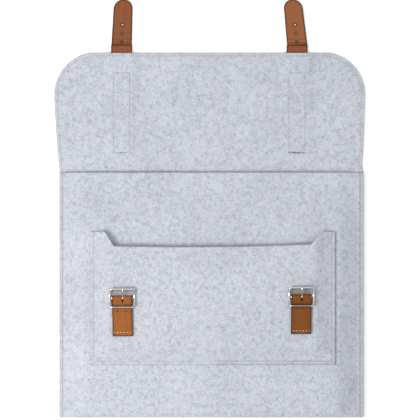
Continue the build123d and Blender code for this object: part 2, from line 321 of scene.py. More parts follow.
def felt_finish(name):
    """Melange wool felt: pale and grey fibres matted together, pressed in along its seams, with painted shade
    along its seams and cut edges and a painted shadow behind each buckle.
    """
    felt = settings().felt
    inset = settings().stitches.inset
    f = Finish(name, Sheen_Weight=0.2, Sheen_Roughness=0.6, Specular_IOR_Level=0.12)
    place = f.attribute("rest", "Vector")
    drift = f.noise(place, 16.0, 2.0)
    clouds = f.noise(place, 165.0, 5.0, 0.70, 0.25)
    flecks = f.noise(place, 400.0, 3.0, 0.65, 0.3)
    grain = f.noise(place, 1300.0, 2.0, 0.7)
    fibres = None
    for turn, seed in ((0.4, 0.0), (1.5, 3.1), (2.6, 7.3)):
        lane = f.stretch(place, (150.0 + 11 * seed, 900.0, 900.0), turn)
        strand = f.noise(lane, 1.0, 2.0, 0.5, 1.0).ease(0.56, 0.74)
        fibres = strand if fibres is None else fibres.at_least(strand)
    grey = clouds.ease(0.40, 0.70) * 0.62 + flecks.ease(0.44, 0.72) * 0.50 + drift.ease(0.3, 0.7) * 0.20
    grey = grey + fibres * 0.42 + grain.ease(0.3, 0.8) * 0.10
    wool = f.mix(grey * 0.57, felt.light, felt.dark)
    tint = f.noise(place, 70.0, 2.0)
    wool = f.mix(tint.ease(0.5, 0.75) * 0.10, wool, (0.62, 0.60, 0.74))
    wool = f.mix(tint.ease(0.5, 0.25) * 0.10, wool, (0.55, 0.64, 0.64))
    edge = f.attribute("edge")
    depth = f.attribute("seam_depth")
    # Painted shade along the seams, the sewn borders, the cut edges and the strap box lines, scaled by each
    # seam's depth; the seam and box lines are pressed in by the bump as well.
    seam = abs(edge - (inset + 0.6 * MM)).ease(1.15 * MM, 0.15 * MM) * depth
    border = edge.ease(inset + 1.0 * MM, inset + 0.2 * MM) * depth
    box = abs(f.attribute("strap_line")).ease(1.2 * MM, 0.2 * MM)
    cut = edge.ease(1.2 * MM, 0.4 * MM) * depth
    wool = f.mix(border * 0.15 + cut * 0.55, wool, felt.dark)
    wool = f.mix(seam * 0.26 + box * 0.08, wool, (0.13, 0.14, 0.17))
    split = f.node("ShaderNodeSeparateXYZ", sockets={0: place}).socket.node.outputs
    x, y, z = (Wire(split[axis]) for axis in "XYZ")
    # Painted shadow of each buckle's frame on the felt of the raised front, in the window between the bar and
    # the upper rail.
    on_front = z.ease(12 * MM, 16 * MM)
    for side in SIDES:
        bar = joint_place(f"buckle_tilt_{side}")
        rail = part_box(f"buckle_frame_{side}")[1].y - 1.5 * MM
        across = abs(x - bar.x).ease(14 * MM, 11 * MM)
        along = abs(y - (bar.y + rail) / 2).ease((rail - bar.y) / 2 + 1 * MM, (rail - bar.y) / 2 - 1 * MM)
        wool = f.mix(across * along * on_front * RUBBED[side], wool, felt.rubbed)
    height = grain * 0.5 + flecks * 0.5 + fibres * 0.35 - seam * 1.4 - box * 0.8
    f.link("Base Color", wool)
    f.link("Roughness", 0.84 + grain * 0.14)
    f.link("Normal", f.bump(height, 0.35 * MM, 0.65))
    return f.material


def leather_finish(name):
    """Vegetable-tanned leather: a smooth grain side, a matt inner side and burnished cut edges, with darkened
    creases and painted shade.
    """
    leather = settings().leather
    f = Finish(name, Specular_IOR_Level=0.18)
    place = f.attribute("rest", "Vector")
    cloud = f.noise(place, 90.0, 4.0, 0.6, 0.6)
    fine = f.noise(place, 900.0, 3.0, 0.65)
    streaks = f.noise(f.stretch(place, (330.0, 26.0, 60.0)), 1.0, 3.0, 0.55, 0.3)
    pores = f.node(
        "ShaderNodeTexVoronoi", {"feature": "DISTANCE_TO_EDGE"}, {"Vector": place, "Scale": 1250.0}
    ).ease(0.0, 0.28)
    flesh = f.attribute("flesh").ease(0.45, 0.55)
    edge = f.attribute("edge").ease(2.6 * MM, 0.5 * MM)
    crease = f.attribute("crease")
    tint = cloud.ease(0.3, 0.72) * 0.35 + streaks.ease(0.35, 0.7) * 0.45
    grain_side = f.mix(tint, leather.grain, tuple(0.55 * c for c in leather.grain))
    # Painted shade over a whole piece: the right tab is drawn darker than the left.
    grain_side = f.mix(f.attribute("tone"), grain_side, leather.deep)
    nap = f.noise(f.stretch(place, (700.0, 320.0, 700.0)), 1.0, 3.0, 0.6, 0.4)
    flesh_side = f.mix(nap.ease(0.3, 0.75) * 0.4, leather.flesh, tuple(1.35 * c for c in leather.flesh))
    flesh_side = f.mix(tint * 0.5, flesh_side, tuple(0.55 * c for c in leather.flesh))
    flesh_side = f.mix(f.attribute("fade"), flesh_side, leather.faded)
    skin = f.mix(flesh, grain_side, flesh_side)
    skin = f.mix(edge * 0.85, skin, leather.burnish)
    # Creases, and the painted shadow stored with them, draw the colour towards the burnish.
    skin = f.mix(crease * 0.6, skin, leather.burnish)
    f.link("Base Color", skin)
    f.link("Roughness", 0.42 + flesh * 0.30 + fine * 0.16)
    relief = pores * (1.0 - flesh) * 0.6 + fine * 0.4 + nap * flesh * 0.6 - crease * 2.2
    f.link("Normal", f.bump(relief, 0.16 * MM, 0.7))
    return f.material


def nickel_finish(name):
    """Nickel plate with fine rubbing marks, darker patches, and painted shade and painted reflection of the
    leather on its rails.
    """
    f = Finish(name, Metallic=1.0)
    place = f.attribute("rest", "Vector")
    rubs = f.noise(f.stretch(place, (300.0, 3200.0, 3200.0)), 1.0, 2.0, 0.6)
    patches = f.noise(place, 260.0, 3.0, 0.55)
    nickel = settings().hardware.nickel
    plate = f.mix(patches.ease(0.45, 0.8) * 0.4, nickel, tuple(0.72 * c for c in nickel))
    # Painted shade and painted reflection of the brown leather on the rails.
    f.link("Base Color", f.mix(f.attribute("dull"), plate, settings().hardware.dull))
    f.link("Roughness", 0.07 + patches.ease(0.4, 0.75) * 0.12 + rubs * 0.06)
    f.link("Normal", f.bump(rubs, 0.02 * MM, 0.5))
    return f.material


def thread_finish(name, shade):
    """Twisted sewing thread."""
    f = Finish(name, Sheen_Weight=0.2, Specular_IOR_Level=0.3)
    place = f.attribute("rest", "Vector")
    sockets = {"Vector": place, "Scale": 900.0, "Distortion": 2.0}
    twist = f.node("ShaderNodeTexWave", {"bands_direction": "DIAGONAL"}, sockets)
    wool = f.noise(place, 700.0, 2.0)
    f.link("Base Color", f.mix(twist * 0.4 + wool * 0.3, shade, tuple(0.55 * c for c in shade)))
    f.link("Roughness", 0.62 + wool * 0.2)
    f.link("Normal", f.bump(twist, 0.08 * MM, 0.6))
    return f.material


def finish(name, maker, *values):
    """The material of that name, made the first time that it is asked for."""
    return bpy.data.materials.get(name) or maker(name, *values)


WOOL = ("wool_felt", felt_finish)
LEATHER = ("tanned_leather", leather_finish)
NICKEL = ("nickel_plate", nickel_finish)


# --- Mesh building ------------------------------------------------------------


def ease(t):
    t = np.clip(t, 0.0, 1.0)
    return t * t * (3 - 2 * t)


def band(distance, width):
    """1 where the distance is 0, easing to 0 a width away on both sides."""
    return ease(1 - np.abs(distance) / width)


def ramp(t):
    """0 to 1 in a straight slope with softly rounded ends."""
    t = np.clip(t, 0.0, 1.0)
    return 0.35 * ease(t) + 0.65 * np.interp(t, (0, 0.12, 0.88, 1), (0, 0.06, 0.94, 1))


def ripple(x, y, seed, size=70 * MM):
    """Slow waves between -1 and 1, the same each run."""
    chance = np.random.default_rng(seed)
    total = 0.0
    for k in range(6):
        angle = chance.uniform(0, math.tau)
        wave = math.tau / (size * chance.uniform(0.6, 1.8))
        phase = chance.uniform(0, math.tau)
        total = total + np.sin((x * math.cos(angle) + y * math.sin(angle)) * wave + phase)
    return total / 6


def places(*stretches):
    """Places from stretches of (start, end, cell), each divided evenly."""
    found = []
    for start, end, cell in stretches:
        count = max(1, math.ceil(abs(end - start) / cell - 1e-6))
        found.append(np.linspace(start, end, count + 1)[:-1])
    return np.concatenate([*found, [stretches[-1][1]]])


def mirrored(half):
    """Places from -end to end, from the places from 0 to end."""
    return np.concatenate([-half[:0:-1], half])


def unit(vectors):
    return vectors / np.maximum(np.linalg.norm(vectors, axis=-1, keepdims=True), 1e-12)


def add_object(name, data):
    made = bpy.data.objects.new(name, data)
    bpy.context.scene.collection.objects.link(made)
    return made


def new_piece(name, points, faces, material):
    mesh = bpy.data.meshes.new(name)
    mesh.from_pydata([tuple(p) for p in points], [], [tuple(int(i) for i in face) for face in faces])
    mesh.validate()
    mesh.materials.append(material)
    mesh.polygons.foreach_set("use_smooth", [True] * len(mesh.polygons))
    return add_object(name, mesh)


def places_of(piece):
    count = len(piece.data.vertices)
    found = np.empty(count * 3)
    piece.data.vertices.foreach_get("co", found)
    return found.reshape(count, 3)


def mark(piece, **values):
    """Stores a number for each vertex, under each name, and every vertex's place at rest."""
    rest = piece.data.attributes.new("rest", "FLOAT_VECTOR", "POINT")
    rest.data.foreach_set("vector", places_of(piece).astype(np.float32).ravel())
    for name, numbers in values.items():
        layer = piece.data.attributes.new(name, "FLOAT", "POINT")
        layer.data.foreach_set("value", np.asarray(numbers, np.float32))


def thick_sheet(name, grid, thickness, cut_round, material):
    """A closed sheet about a grid of middle points, with softly rounded cut edges all round."""
    rows, cols = grid.shape[:2]
    across = np.gradient(grid, axis=1)
    along = np.gradient(grid, axis=0)
    normal = unit(np.cross(across, along))
    half = thickness / 2
    index = np.arange(rows * cols).reshape(rows, cols)
    quads = np.stack([index[:-1, :-1], index[:-1, 1:], index[1:, 1:], index[1:, :-1]], -1).reshape(-1, 4)
    under = quads[:, ::-1] + rows * cols
    rim = np.concatenate([index[0, :-1], index[:-1, -1], index[-1, :0:-1], index[:0:-1, 0]])
    flat_grid, flat_normal = grid.reshape(-1, 3), normal.reshape(-1, 3)
    ring = flat_grid[rim]
    run = unit(np.roll(ring, -1, 0) - np.roll(ring, 1, 0))
    outward = unit(np.cross(run, flat_normal[rim]))
    points = [flat_grid + flat_normal * half, flat_grid - flat_normal * half]
    loops = [rim]
    total = 2 * rows * cols
    for out, up in ((0.72, 0.80), (1.0, 0.34), (1.0, -0.34), (0.72, -0.80)):
        points.append(ring + outward * cut_round * out + flat_normal[rim] * half * up)
        loops.append(np.arange(total, total + len(rim)))
        total += len(rim)
    loops.append(rim + rows * cols)
    sides = [
        np.stack([np.roll(upper, -1), upper, lower, np.roll(lower, -1)], -1)
        for upper, lower in zip(loops[:-1], loops[1:])
    ]
    return new_piece(name, np.concatenate(points), np.concatenate([quads, under, *sides]), material)


def round_shape(sides, square):
    """Points round a circle of radius 1, drawn towards a square where square is under 1."""
    turn = np.linspace(0, math.tau, sides, endpoint=False)
    shape = np.stack([np.cos(turn), np.sin(turn)], -1)
    return np.sign(shape) * np.abs(shape) ** square


def tube_faces(count, sides, closed):
    """Quads between the neighbouring rings of a tube."""
    index = np.arange(count * sides).reshape(count, sides)
    after = np.roll(index, -1, 0) if closed else index[1:]
    here = index if closed else index[:-1]
    quads = np.stack([here, np.roll(here, -1, 1), np.roll(after, -1, 1), after], -1)
    return quads.reshape(-1, 4).tolist()


def swept(path, across, up, sides, closed=False, square=1.0):
    """Points and faces of a rod along a path, as wide and high as across and up say at each point."""
    path = np.asarray(path, float)
    count = len(path)
    if closed:
        run = unit(np.roll(path, -1, 0) - np.roll(path, 1, 0))
    else:
        run = unit(np.gradient(path, axis=0))
    aside = unit(np.cross(run, np.array([0.0, 0.0, 1.0])) + 1e-9)
    over = unit(np.cross(aside, run))
    shape = round_shape(sides, square)
    across = np.broadcast_to(across, count)
    up = np.broadcast_to(up, count)
    rings = (
        path[:, None]
        + aside[:, None] * (across[:, None] * shape[:, 0])[..., None]
        + over[:, None] * (up[:, None] * shape[:, 1])[..., None]
    )
    faces = tube_faces(count, sides, closed)
    if not closed:
        faces += [list(range(sides))[::-1], list(range((count - 1) * sides, count * sides))]
    return rings.reshape(-1, 3), faces


def joined(parts):
    """Points and faces of several closed shells as one."""
    points, faces, total = [], [], 0
    for some_points, some_faces in parts:
        points.append(some_points)
        faces += [[i + total for i in face] for face in some_faces]
        total += len(some_points)
    return np.concatenate(points), faces


def outwards(piece):
    """Turns every face of a closed shell outwards."""
    shell = bmesh.new()
    shell.from_mesh(piece.data)
    bmesh.ops.recalc_face_normals(shell, faces=shell.faces)
    shell.to_mesh(piece.data)
    shell.free()


def settle(piece):
    """Replaces a piece's mesh by what its modifiers make of it."""
    graph = bpy.context.evaluated_depsgraph_get()
    made = bpy.data.meshes.new_from_object(piece.evaluated_get(graph))
    piece.modifiers.clear()
    old = piece.data
    piece.data = made
    made.name = piece.name
    bpy.data.meshes.remove(old)


def cut_away(piece, tools):
    """Cuts closed tool shapes out of a piece."""
    for tool in tools:
        cut = piece.modifiers.new("cut", "BOOLEAN")
        cut.operation = "DIFFERENCE"
        cut.solver = "EXACT"
        cut.object = tool
    settle(piece)
    for tool in tools:
        bpy.data.objects.remove(tool)


# --- Felt shapes --------------------------------------------------------------


def front_height(x):
    """Height of the front panel's middle surface across the sleeve: flat borders and sloping sides."""
    felt = settings().felt
    low = FRONT_LOW.z + 1.5 * felt.thickness
    high = FRONT_HIGH.z - felt.thickness / 2
    outer = FRONT_HIGH.x - felt.border
    return low + (high - low) * ramp((outer - np.abs(x)) / felt.wall)


def flap_half(y):
    """Half of the flap's width at each distance along it."""
    felt = settings().felt
    fold = felt.fold_width / 2
    share = np.clip((y - MOUTH) / felt.flare, 0, 1)
    spread = (share + np.sin(share * math.pi / 2)) / 2
    corner = felt.flap_corner
    past = np.clip(y - (FLAP_EDGE - corner), 0, corner)
    return fold + (FLAP_HALF - fold) * spread - corner + np.sqrt(np.maximum(corner**2 - past**2, 0))


def flap_middle(y):
    """Middle of the flap at each distance along it: it lies further to one side at its edge."""
    return FLAP_MIDDLE * (0.55 + 0.5 * ease((y - MOUTH) / settings().felt.flare))


def flap_lift(x, y):
    """How far the flap's underside stands off the floor: it lies over the straps and sinks between them."""
    leather = settings().leather
    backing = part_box("strap_backing_left")
    lift = 0.5 * MM + 0.35 * MM * ripple(x, y, 5)
    for side in SIDES:
        low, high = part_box(f"strap_{side}")
        over = 1 - ease((np.abs(x - (low.x + high.x) / 2) - (high.x - low.x) / 2) / (11 * MM))
        stack = leather.thickness + (backing[1].z - backing[0].z) * ease((y - backing[0].y) / (10 * MM) + 1)
        lift = lift * (1 - over) + (stack + 0.05 * MM) * over
    return lift * ease((y - FOLD_LINE) / (10 * MM))


def felt_body_grid():
    """Middle surface of the felt, in one run: front, bottom fold, back and flap."""
    felt = settings().felt
    t = felt.thickness
    half = FRONT_HIGH.x - felt.cut_round
    outer = FRONT_HIGH.x - felt.border
    inner = outer - felt.wall
    rim = half - 0.7 * MM
    right = places((0, inner, felt.cell), (inner, outer, 1.3 * MM), (outer, rim, 1.2 * MM), (rim, half, 1))
    x = mirrored(right)
    top = front_height(x)
    floor = t / 2
    radius = (top - floor) / 2
    turn_y = BOTTOM + t / 2 + radius
    start = MOUTH - felt.cut_round
    rows = []
    for step in places((0, 0.004, 0.004), (0.004, 1, felt.cell / (MOUTH - BOTTOM))):
        y = start + (turn_y - start) * step
        sink = felt.mouth_sag * ease((y - MOUTH + felt.sag_length) / felt.sag_length)
        sink = sink * (top - top.min()) / np.ptp(top)
        wave = 0.45 * MM * ripple(x, y, 1) * ease((inner - np.abs(x)) / (20 * MM))
        rows.append(np.stack([x, y, top - sink + wave], -1))
    for angle in np.linspace(math.pi / 2, -math.pi / 2, 14)[1:-1]:
        y = turn_y - radius * math.cos(angle)
        rows.append(np.stack([x, y, floor + radius + radius * math.sin(angle)], -1))
    for step in places((0, 1, felt.cell / (MOUTH - BOTTOM))):
        y = turn_y + (MOUTH - turn_y) * step
        rows.append(np.stack([x, y, np.full_like(x, floor)], -1))
    edge = FLAP_EDGE - felt.cut_round
    corner = edge - felt.flap_corner
    close = edge - 8 * MM
    flap_rows = places((MOUTH, corner, felt.cell), (corner, close, 3 * MM), (close, edge, 1 * MM))
    for along in flap_rows[1:]:
        middle = flap_middle(along)
        reach = flap_half(along) - felt.cut_round
        blend = ease((along - MOUTH) / (8 * MM))
        px = x * (1 - blend) + (middle + x / half * reach) * blend
        rows.append(np.stack([px, np.full_like(x, along), floor + flap_lift(px, along)], -1))
    return np.stack(rows)


def box_distance(x, y, middle_x, middle_y, half_x, half_y, corner=0.0):
    """Signed distance from the outline of a box with round corners."""
    qx = np.abs(x - middle_x) - half_x + corner
    qy = np.abs(y - middle_y) - half_y + corner
    outside = np.hypot(np.maximum(qx, 0), np.maximum(qy, 0))
    return outside + np.minimum(np.maximum(qx, qy), 0) - corner


def strap_box(side):
    """The stitched box that holds a strap: its middle and half sizes."""
    low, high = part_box(f"strap_thread_{side}")
    return (low.x + high.x) / 2, (low.y + high.y) / 2, (high.x - low.x) / 2, (high.y - low.y) / 2


def make_felt_body():
    felt = settings().felt
    grid = felt_body_grid()
    piece = thick_sheet("felt_body", grid, felt.thickness, felt.cut_round, finish(*WOOL))
    x, y, _ = places_of(piece).T
    sides = FRONT_HIGH.x - np.abs(x)
    flap_edge = -box_distance(x, y, FLAP_MIDDLE, 0, FLAP_HALF, FLAP_EDGE, felt.flap_corner)
    narrow = FLAP_HALF - flap_half(y)
    flap_edge = np.where(y < FLAP_EDGE - felt.flap_corner, flap_edge - narrow, flap_edge)
    edge = np.where(y > MOUTH + 1 * MM, flap_edge, sides)
    line = np.full_like(x, 1.0)
    for side in SIDES:
        line = np.minimum(line, box_distance(x, y, *strap_box(side)))
    line = np.where(y > MOUTH, line, 1.0)
    # Seam depth and painted shade: the right side seam gets more than the left, the flap's seams little.
    body_seam = np.where(x < 0, BODY_SEAM["left"], BODY_SEAM["right"])
    depth = np.where(y > MOUTH + 1 * MM, FLAP_SEAM, body_seam)
    mark(piece, edge=edge, strap_line=line, seam_depth=depth)
    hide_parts("back_panel", "front_panel", "flap_panel")
    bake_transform(piece)


def pocket_top_edge(x):
    """The pocket's upper edge: raised ears, a slant each side and a long mouth that sags a little."""
    away = np.abs(x - POCKET_MIDDLE)
    ear, slant = POCKET_HALF - EAR, POCKET_HALF - EAR_FOOT
    share = np.clip((away - slant) / (ear - slant), 0, 1)
    mouth = POCKET_MOUTH + MOUTH_TILT * np.clip((x - POCKET_MIDDLE) / (2 * slant) + 0.5, 0, 1)
    mouth = mouth - MOUTH_DIP * np.clip(1 - (away / slant) ** 2, 0, 1)
    return mouth + (POCKET_HIGH.y - mouth) * share


def pocket_height(x, y):
    """Height of the pocket's middle surface, raised inside its sewn border."""
    felt = settings().felt
    aside = POCKET_HALF - np.abs(x - POCKET_MIDDLE)
    low = POCKET_LOW.z + felt.thickness / 2
    rise = POCKET_HIGH.z - POCKET_LOW.z - felt.thickness
    walls = [ramp((d - felt.border) / felt.pocket_wall) for d in (aside, y - POCKET_LOW.y)]
    return low + rise * walls[0] * walls[1]


def make_felt_pocket():
    felt = settings().felt
    half = POCKET_HALF - felt.cut_round
    ear, slant = half - EAR + felt.cut_round, half - EAR_FOOT + felt.cut_round
    inner = half - felt.border - felt.pocket_wall
    border = half - felt.border + felt.cut_round
    side_rim = half - 0.7 * MM
    right = places(
        (0, slant, felt.cell), (slant, ear, 2 * MM), (ear, border, 1.2 * MM),
        (border, side_rim, 1.2 * MM), (side_rim, half, 1),
    )
    x = POCKET_MIDDLE + mirrored(right)
    low = POCKET_LOW.y + felt.cut_round
    top = pocket_top_edge(x) - felt.cut_round
    rim, close, last = 0.8 * MM, POCKET_RUN - 4 * MM, POCKET_RUN - 0.8 * MM
    steps = places(
        (0, rim, 1), (rim, POCKET_FOOT, 1.4 * MM), (POCKET_FOOT, close, felt.cell),
        (close, last, 1.6 * MM), (last, POCKET_RUN, 1),
    ) / POCKET_RUN
    rows = []
    for step in steps:
        y = low + (top - low) * (step if step > 0.1 else step * POCKET_RUN / (top - low))
        inside = ease((half - np.abs(x - POCKET_MIDDLE)) / (40 * MM))
        wave = 0.35 * MM * ripple(x, y, 9) * inside * ease(step * 4)
        rows.append(np.stack([x, y, pocket_height(x, y) + wave], -1))
    grid = np.stack(rows)
    piece = thick_sheet("felt_pocket", grid, felt.thickness, felt.cut_round, finish(*WOOL))
    px, py, _ = places_of(piece).T
    aside = half + felt.cut_round - np.abs(px - POCKET_MIDDLE)
    edge = np.minimum(aside, py - POCKET_LOW.y)
    # Seam depth and painted shade: the pocket's right seam gets more than its left.
    depth = np.where(px < POCKET_MIDDLE, POCKET_SEAM["left"], POCKET_SEAM["right"])
    mark(piece, edge=edge, strap_line=np.ones_like(px), seam_depth=depth)
    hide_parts("front_pocket")
    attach(piece, "sleeve")


# --- Leather ------------------------------------------------------------------


def round_tool(name, middle, radius, half_y, low, high, foot=1.0):
    """A closed upright slot shape for cutting, round where half_y is 0; foot is its share of width at low."""
    turn = np.linspace(0, math.tau, 28, endpoint=False) + 0.05
    ring = np.stack([np.cos(turn) * radius, np.sin(turn) * radius + np.sign(np.sin(turn)) * half_y], -1)
    points = [
        (middle[0] + a * share, middle[1] + b * share, z)
        for z, share in ((low, foot), (high, 1.0))
        for a, b in ring
    ]
    count = len(ring)
    faces = [[i, (i + 1) % count, (i + 1) % count + count, i + count] for i in range(count)]
    faces += [list(range(count))[::-1], list(range(count, 2 * count))]
    return new_piece(name, points, faces, finish(*LEATHER))


def make_strap(side):
    """One strap in one run, from its root under the flap to its round tip."""
    leather = settings().leather
    sewn_low, sewn_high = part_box(f"strap_{side}")
    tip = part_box(f"strap_end_{side}")[1].y
    bend = joint_place(f"strap_bend_{side}").y
    lean = math.tan(getattr(leather, f"lean_{side}"))
    middle = (sewn_low.x + sewn_high.x) / 2
    edge_round = 0.45 * MM
    base = (sewn_high.x - sewn_low.x) / 2 - edge_round
    end = leather.tip_width / 2 - edge_round
    shoulder = tip - edge_round - end
    straight = places(
        (sewn_low.y + edge_round, sewn_low.y + 2 * MM, 1 * MM), (sewn_low.y + 2 * MM, bend - 8 * MM, 6 * MM),
        (bend - 8 * MM, bend + 8 * MM, 0.8 * MM), (bend + 8 * MM, shoulder, 2.5 * MM),
    )
    across = places((0, 0.8, 0.16), (0.8, 1, 0.05))
    across = mirrored(across)
    rows = []
    for y in straight:
        taper = ease((y - bend) / (shoulder - bend))
        rows.append((y, base + (end - base) * taper))
    rows += [(shoulder + end * math.sin(a), end * math.cos(a)) for a in np.radians(np.linspace(8, 82, 11))]
    bow = 0.5 * MM
    grid = [
        np.stack(
            [
                middle + lean * max(y - bend, 0) + across * half,
                np.full_like(across, y),
                leather.thickness / 2 + bow * ease((y - bend) / (tip - bend)) + np.zeros_like(across),
            ],
            -1,
        )
        for y, half in rows
    ]
    name = f"strap_leather_{side}"
    piece = thick_sheet(name, np.stack(grid), leather.thickness, edge_round, finish(*LEATHER))
    hole_places = [(middle + lean * (FLAP_EDGE + d - bend), FLAP_EDGE + d) for d in HOLE_DISTANCES]
    cut_away(
        piece,
        [
            round_tool(f"punch{i}", place, leather.hole_radius * wear, 0, -0.3 * MM, 2.8 * MM, wear - 0.35)
            for i, (place, wear) in enumerate(zip(hole_places, HOLE_WEAR))
        ],
    )
    x, y, z = places_of(piece).T
    away = np.abs(x - middle - lean * np.maximum(y - bend, 0))
    taper = ease((y - bend) / (shoulder - bend))
    half = base + edge_round + (end - base) * taper
    edge = np.minimum(half - away, y - sewn_low.y)
    edge = np.where(y > shoulder, end + edge_round - np.hypot(away, y - shoulder), edge)
    for (hx, hy), wear in zip(hole_places, HOLE_WEAR):
        edge = np.minimum(edge, np.hypot(x - hx, y - hy) - leather.hole_radius * wear + 0.2 * MM)
    crease = 0.8 * band(y - bend - 1.0 * MM, 1.6 * MM)
    crease = np.maximum(crease, 0.45 * band(y - bend - 5.5 * MM, 1.5 * MM))
    flesh = np.clip((z - 0.4 * leather.thickness) / (0.4 * leather.thickness), 0, 1)
    fade = np.full_like(x, FADE[side])
    mark(piece, edge=edge, flesh=flesh, crease=crease, tone=np.zeros_like(x), fade=fade)
    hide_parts(f"strap_{side}", f"strap_end_{side}")
    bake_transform(piece)


def make_backing(side):
    """The second leather layer, between the felt and the strap at the flap's edge."""
    low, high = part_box(f"strap_backing_{side}")
    edge_round = 0.35 * MM
    thickness = high.z - low.z
    middle = (low.x + high.x) / 2
    half = (high.x - low.x) / 2 + 0.5 * MM - edge_round
    across = places((0, 0.8, 0.16), (0.8, 1, 0.05))
    across = mirrored(across) * half
    close = high.y - 2 * MM
    rows = []
    for y in places((low.y + edge_round, close, 5 * MM), (close, high.y - edge_round, 1 * MM)):
        tilt = BACKING_SLANT[side] * across / half * ease((y - high.y) / (10 * MM) + 1)
        level = (low.z + high.z) / 2 + 0.1 * MM
        rows.append(np.stack([middle + across, y + tilt, np.full_like(across, level)], -1))
    name = f"strap_backing_leather_{side}"
    piece = thick_sheet(name, np.stack(rows), thickness, edge_round, finish(*LEATHER))
    x, y, _ = places_of(piece).T
    edge = np.minimum(half + edge_round - np.abs(x - middle), high.y - y)
    mark(piece, edge=edge, flesh=np.ones_like(x), crease=np.zeros_like(x), tone=np.zeros_like(x))
    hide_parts(f"strap_backing_{side}")
    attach(piece, "flap")


def make_tab(side):
    """A strip folded round the buckle's bar and sewn down, slotted for the tongue."""
    leather = settings().leather
    low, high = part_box(f"tab_{side}")
    bar = joint_place(f"buckle_tilt_{side}")
    t = leather.thickness
    edge_round = 0.4 * MM
    loop = bar.z - low.z - t / 2
    lower, upper = low.z + t / 2, low.z + 1.5 * t
    joined_y = bar.y - 10 * MM
    path = [(y, lower) for y in places((low.y + edge_round, bar.y, 3 * MM))[:-1]]
    path += [
        (bar.y + loop * math.cos(a), bar.z + loop * math.sin(a)) for a in np.radians(np.linspace(-90, 90, 17))
    ]
    for y in places((bar.y - 1.5 * MM, joined_y, 1.2 * MM), (joined_y, low.y + edge_round, 2.5 * MM)):
        drop = ease((bar.y - y) / (bar.y - joined_y))
        path.append((y, bar.z + loop + (upper - bar.z - loop) * drop))
    middle = (low.x + high.x) / 2
    half = (high.x - low.x) / 2 - edge_round
    across = places((0, 0.6, 0.12), (0.6, 1, 0.05))
    across = mirrored(across) * half
    skew = TAB_SKEW[side]
    rows = []
    for y, z in path:
        aslant = middle + skew * ease((bar.y - y) / (bar.y - low.y)) + across
        rows.append(np.stack([aslant, np.full_like(across, y), np.full_like(across, z)], -1))
    name = f"tab_leather_{side}"
    piece = thick_sheet(name, np.stack(rows)[::-1], t, edge_round, finish(*LEATHER))
    tongue_low, tongue_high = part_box(f"buckle_tongue_{side}")
    slot_x = (tongue_low.x + tongue_high.x) / 2
    slot = 1.2 * MM
    over = bar.z + 9 * MM
    through = round_tool("through", (slot_x, bar.y + 0.95 * MM), slot, 2.3 * MM, bar.z - 3.5 * MM, over)
    above = round_tool("above", (slot_x, bar.y - 2.0 * MM), slot, 2.05 * MM, bar.z - 0.9 * MM, over)
    cut_away(piece, [through, above])
    x, y, _ = places_of(piece).T
    away = np.abs(x - middle - skew * ease((bar.y - y) / (bar.y - low.y)))
    edge = np.minimum(half + edge_round - away, y - low.y + 0.4 * MM)
    edge = np.where(y > low.y + 20 * MM, half + edge_round - away, edge)
    beaded = 0.55 * band(away - 9.2 * MM, 0.8 * MM) * ease((bar.y - 8 * MM - y) / (4 * MM))
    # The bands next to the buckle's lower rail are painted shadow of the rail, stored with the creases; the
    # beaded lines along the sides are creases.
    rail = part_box(f"buckle_frame_{side}")[0].y + settings().hardware.stock / 2
    rubbed = 0.9 * band(y - rail - 2.3 * MM, 1.7 * MM)
    rubbed = np.maximum(rubbed, 0.5 * band(y - rail + 2.2 * MM, 1.5 * MM))
    # Painted shade over the whole tab, more on the right one.
    tone = np.full_like(x, TONE[side])
    mark(piece, edge=edge, flesh=np.zeros_like(x), crease=np.maximum(beaded, rubbed), tone=tone)
    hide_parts(f"tab_{side}")
    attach(piece, "sleeve")


# --- Buckles ------------------------------------------------------------------


def make_buckle_frame(side):
    """An arched frame with bowed sides and a round centre bar."""
    metal = settings().hardware
    low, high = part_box(f"buckle_frame_{side}")
    bar = joint_place(f"buckle_tilt_{side}")
    half_x = (high.x - low.x) / 2 - metal.stock / 2
    half_y = (high.y - low.y) / 2 - metal.stock / 2
    rise = high.z - metal.stock / 2 - bar.z
    corner = metal.corner
    outline = []
    for quarter, (sx, sy) in enumerate(((1, 1), (-1, 1), (-1, -1), (1, -1))):
        for a in np.radians(np.linspace(90 * quarter, 90 * quarter + 90, 9)):
            point_x = sx * (half_x - corner) + corner * math.cos(a)
            point_y = sy * (half_y - corner) + corner * math.sin(a)
            outline.append((point_x, point_y))
    outline = np.array(outline)
    dense = []
    for a, b in zip(outline, np.roll(outline, -1, 0)):
        count = max(1, round(np.linalg.norm(b - a) / (1.0 * MM)))
        dense += [a + (b - a) * k / count for k in range(count)]
    x, y = np.array(dense).T
    squeeze = 1 - metal.bow / half_x * (y / half_y) ** 2
    ring = np.stack([bar.x + x * squeeze, bar.y + y, bar.z + rise * (y / half_y) ** 2], -1)
    slim = 0.92 + 0.08 * (np.abs(y) / half_y)
    across = metal.stock / 2 * slim
    frame_shell = swept(ring, across, metal.stock / 2 * 0.84, sides=18, closed=True, square=0.95)
    ends = np.linspace(-half_x, half_x, 9)
    bar_path = np.stack([bar.x + ends, np.full(9, bar.y), np.full(9, bar.z)], -1)
    bar_shell = swept(bar_path, metal.bar, metal.bar, sides=20)
    name = f"buckle_metal_{side}"
    piece = new_piece(name, *joined([frame_shell, bar_shell]), finish(*NICKEL))
    outwards(piece)
    y = places_of(piece)[:, 1] - bar.y
    rail = half_y - metal.stock
    # Painted shade and painted reflection of the brown leather on the rails: most on the lower rail, a little
    # on the upper rail and more on the left buckle's lower half.
    dull = DULL[side] * ease((-y - rail) / (1 * MM))
    dull = np.maximum(dull, 0.25 * ease((y - rail) / (1 * MM)))
    if side == "left":
        dull += 0.3 * ease((y + half_y) / (0.6 * MM)) * (y < 0)
    mark(piece, dull=np.clip(dull, 0, 1) * (np.abs(places_of(piece)[:, 0] - bar.x) < half_x - metal.stock))
    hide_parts(f"buckle_frame_{side}")
    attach(piece, f"buckle_{side}")


